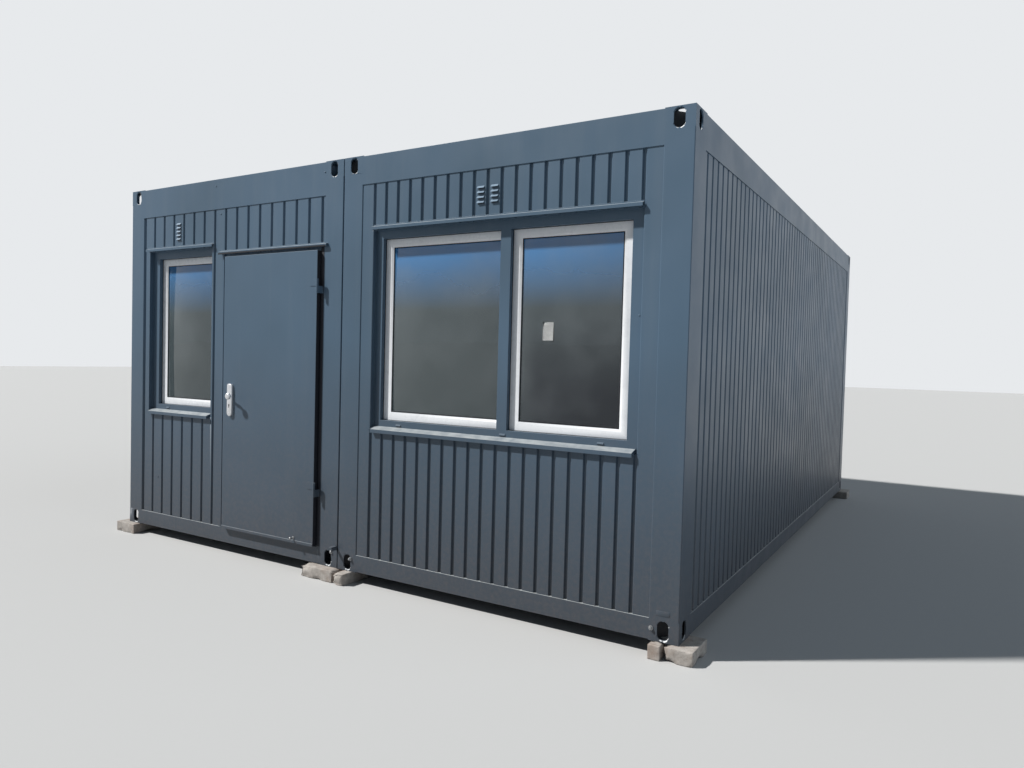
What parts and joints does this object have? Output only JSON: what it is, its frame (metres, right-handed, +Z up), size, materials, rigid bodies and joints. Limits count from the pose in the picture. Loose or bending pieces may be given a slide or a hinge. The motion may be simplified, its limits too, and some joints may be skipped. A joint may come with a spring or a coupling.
{
  "type": "double site office cabin",
  "caption": "Two steel container modules joined side by side as one room, with a hinged entrance door, windows under drip canopies and concrete support blocks.",
  "frame": {"origin": "centre of the footprint on the ground under the support blocks", "axes": "+Z up, the front with the door and windows faces -Y, +X to the right seen from the front"},
  "size_m": [5.074, 6.271, 2.9],
  "materials": {
    "anthracite_steel": "satin anthracite paint, lightly dusty",
    "roof_steel": "galvanised and painted sheet, weathered",
    "floor_cassette": "galvanised underside sheet",
    "floor_board": "grey vinyl over boards",
    "white_board": "white faced lining board",
    "white_sash": "white plastic window profile",
    "window_glass": "clear double glazing",
    "threshold_steel": "plain ribbed threshold",
    "lock_steel": "brushed lock plate and knob",
    "joint_rubber": "black foam seal",
    "trim_aluminium": "pale joint trim",
    "concrete": "rough cast concrete"
  },
  "bodies": {
    "cabin": {"back_corner_fittings": "anthracite_steel", "back_linings": "white_board", "ceilings": "white_board", "corner_posts": "anthracite_steel", "door_frame": "anthracite_steel", "door_threshold": "threshold_steel", "drip_canopies": "anthracite_steel", "floor_decks": "floor_board", "floor_panels": "floor_cassette", "floor_rails": "anthracite_steel", "front_corner_fittings": "anthracite_steel", "hinge_brackets": "anthracite_steel", "joint_seal": "joint_rubber", "joint_trims": "trim_aluminium", "left_back_wall": "anthracite_steel", "left_front_lining": "white_board", "left_side_wall": "anthracite_steel", "left_wall_above_door": "anthracite_steel", "left_wall_above_window": "anthracite_steel", "left_wall_below_window": "anthracite_steel", "left_wall_beside_window": "anthracite_steel", "left_window_frame": "anthracite_steel", "left_window_glass": "window_glass", "left_window_sash": "white_sash", "louvre_vents": "anthracite_steel", "right_back_wall": "anthracite_steel", "right_front_lining": "white_board", "right_side_wall": "anthracite_steel", "right_wall_above_window": "anthracite_steel", "right_wall_below_window": "anthracite_steel", "right_wall_beside_window": "anthracite_steel", "right_window_frame": "anthracite_steel", "right_window_glass": "window_glass", "right_window_sashes": "white_sash", "roof_joint_cover": "anthracite_steel", "roof_panels": "roof_steel", "roof_rails": "anthracite_steel", "side_linings": "white_board", "support_blocks": "concrete", "window_sills": "anthracite_steel"},
    "door": {"door_leaf": "anthracite_steel", "lock_plates": "lock_steel", "door_knobs": "lock_steel", "hinge_straps": "anthracite_steel"}
  },
  "joints": [
    {"name": "door_hinge", "type": "hinge", "parent": "cabin", "child": "door", "pos_m": [-0.196, -3.07, 1.334], "axis": [0, 0, 1], "range_deg": [0, 110]}
  ]
}
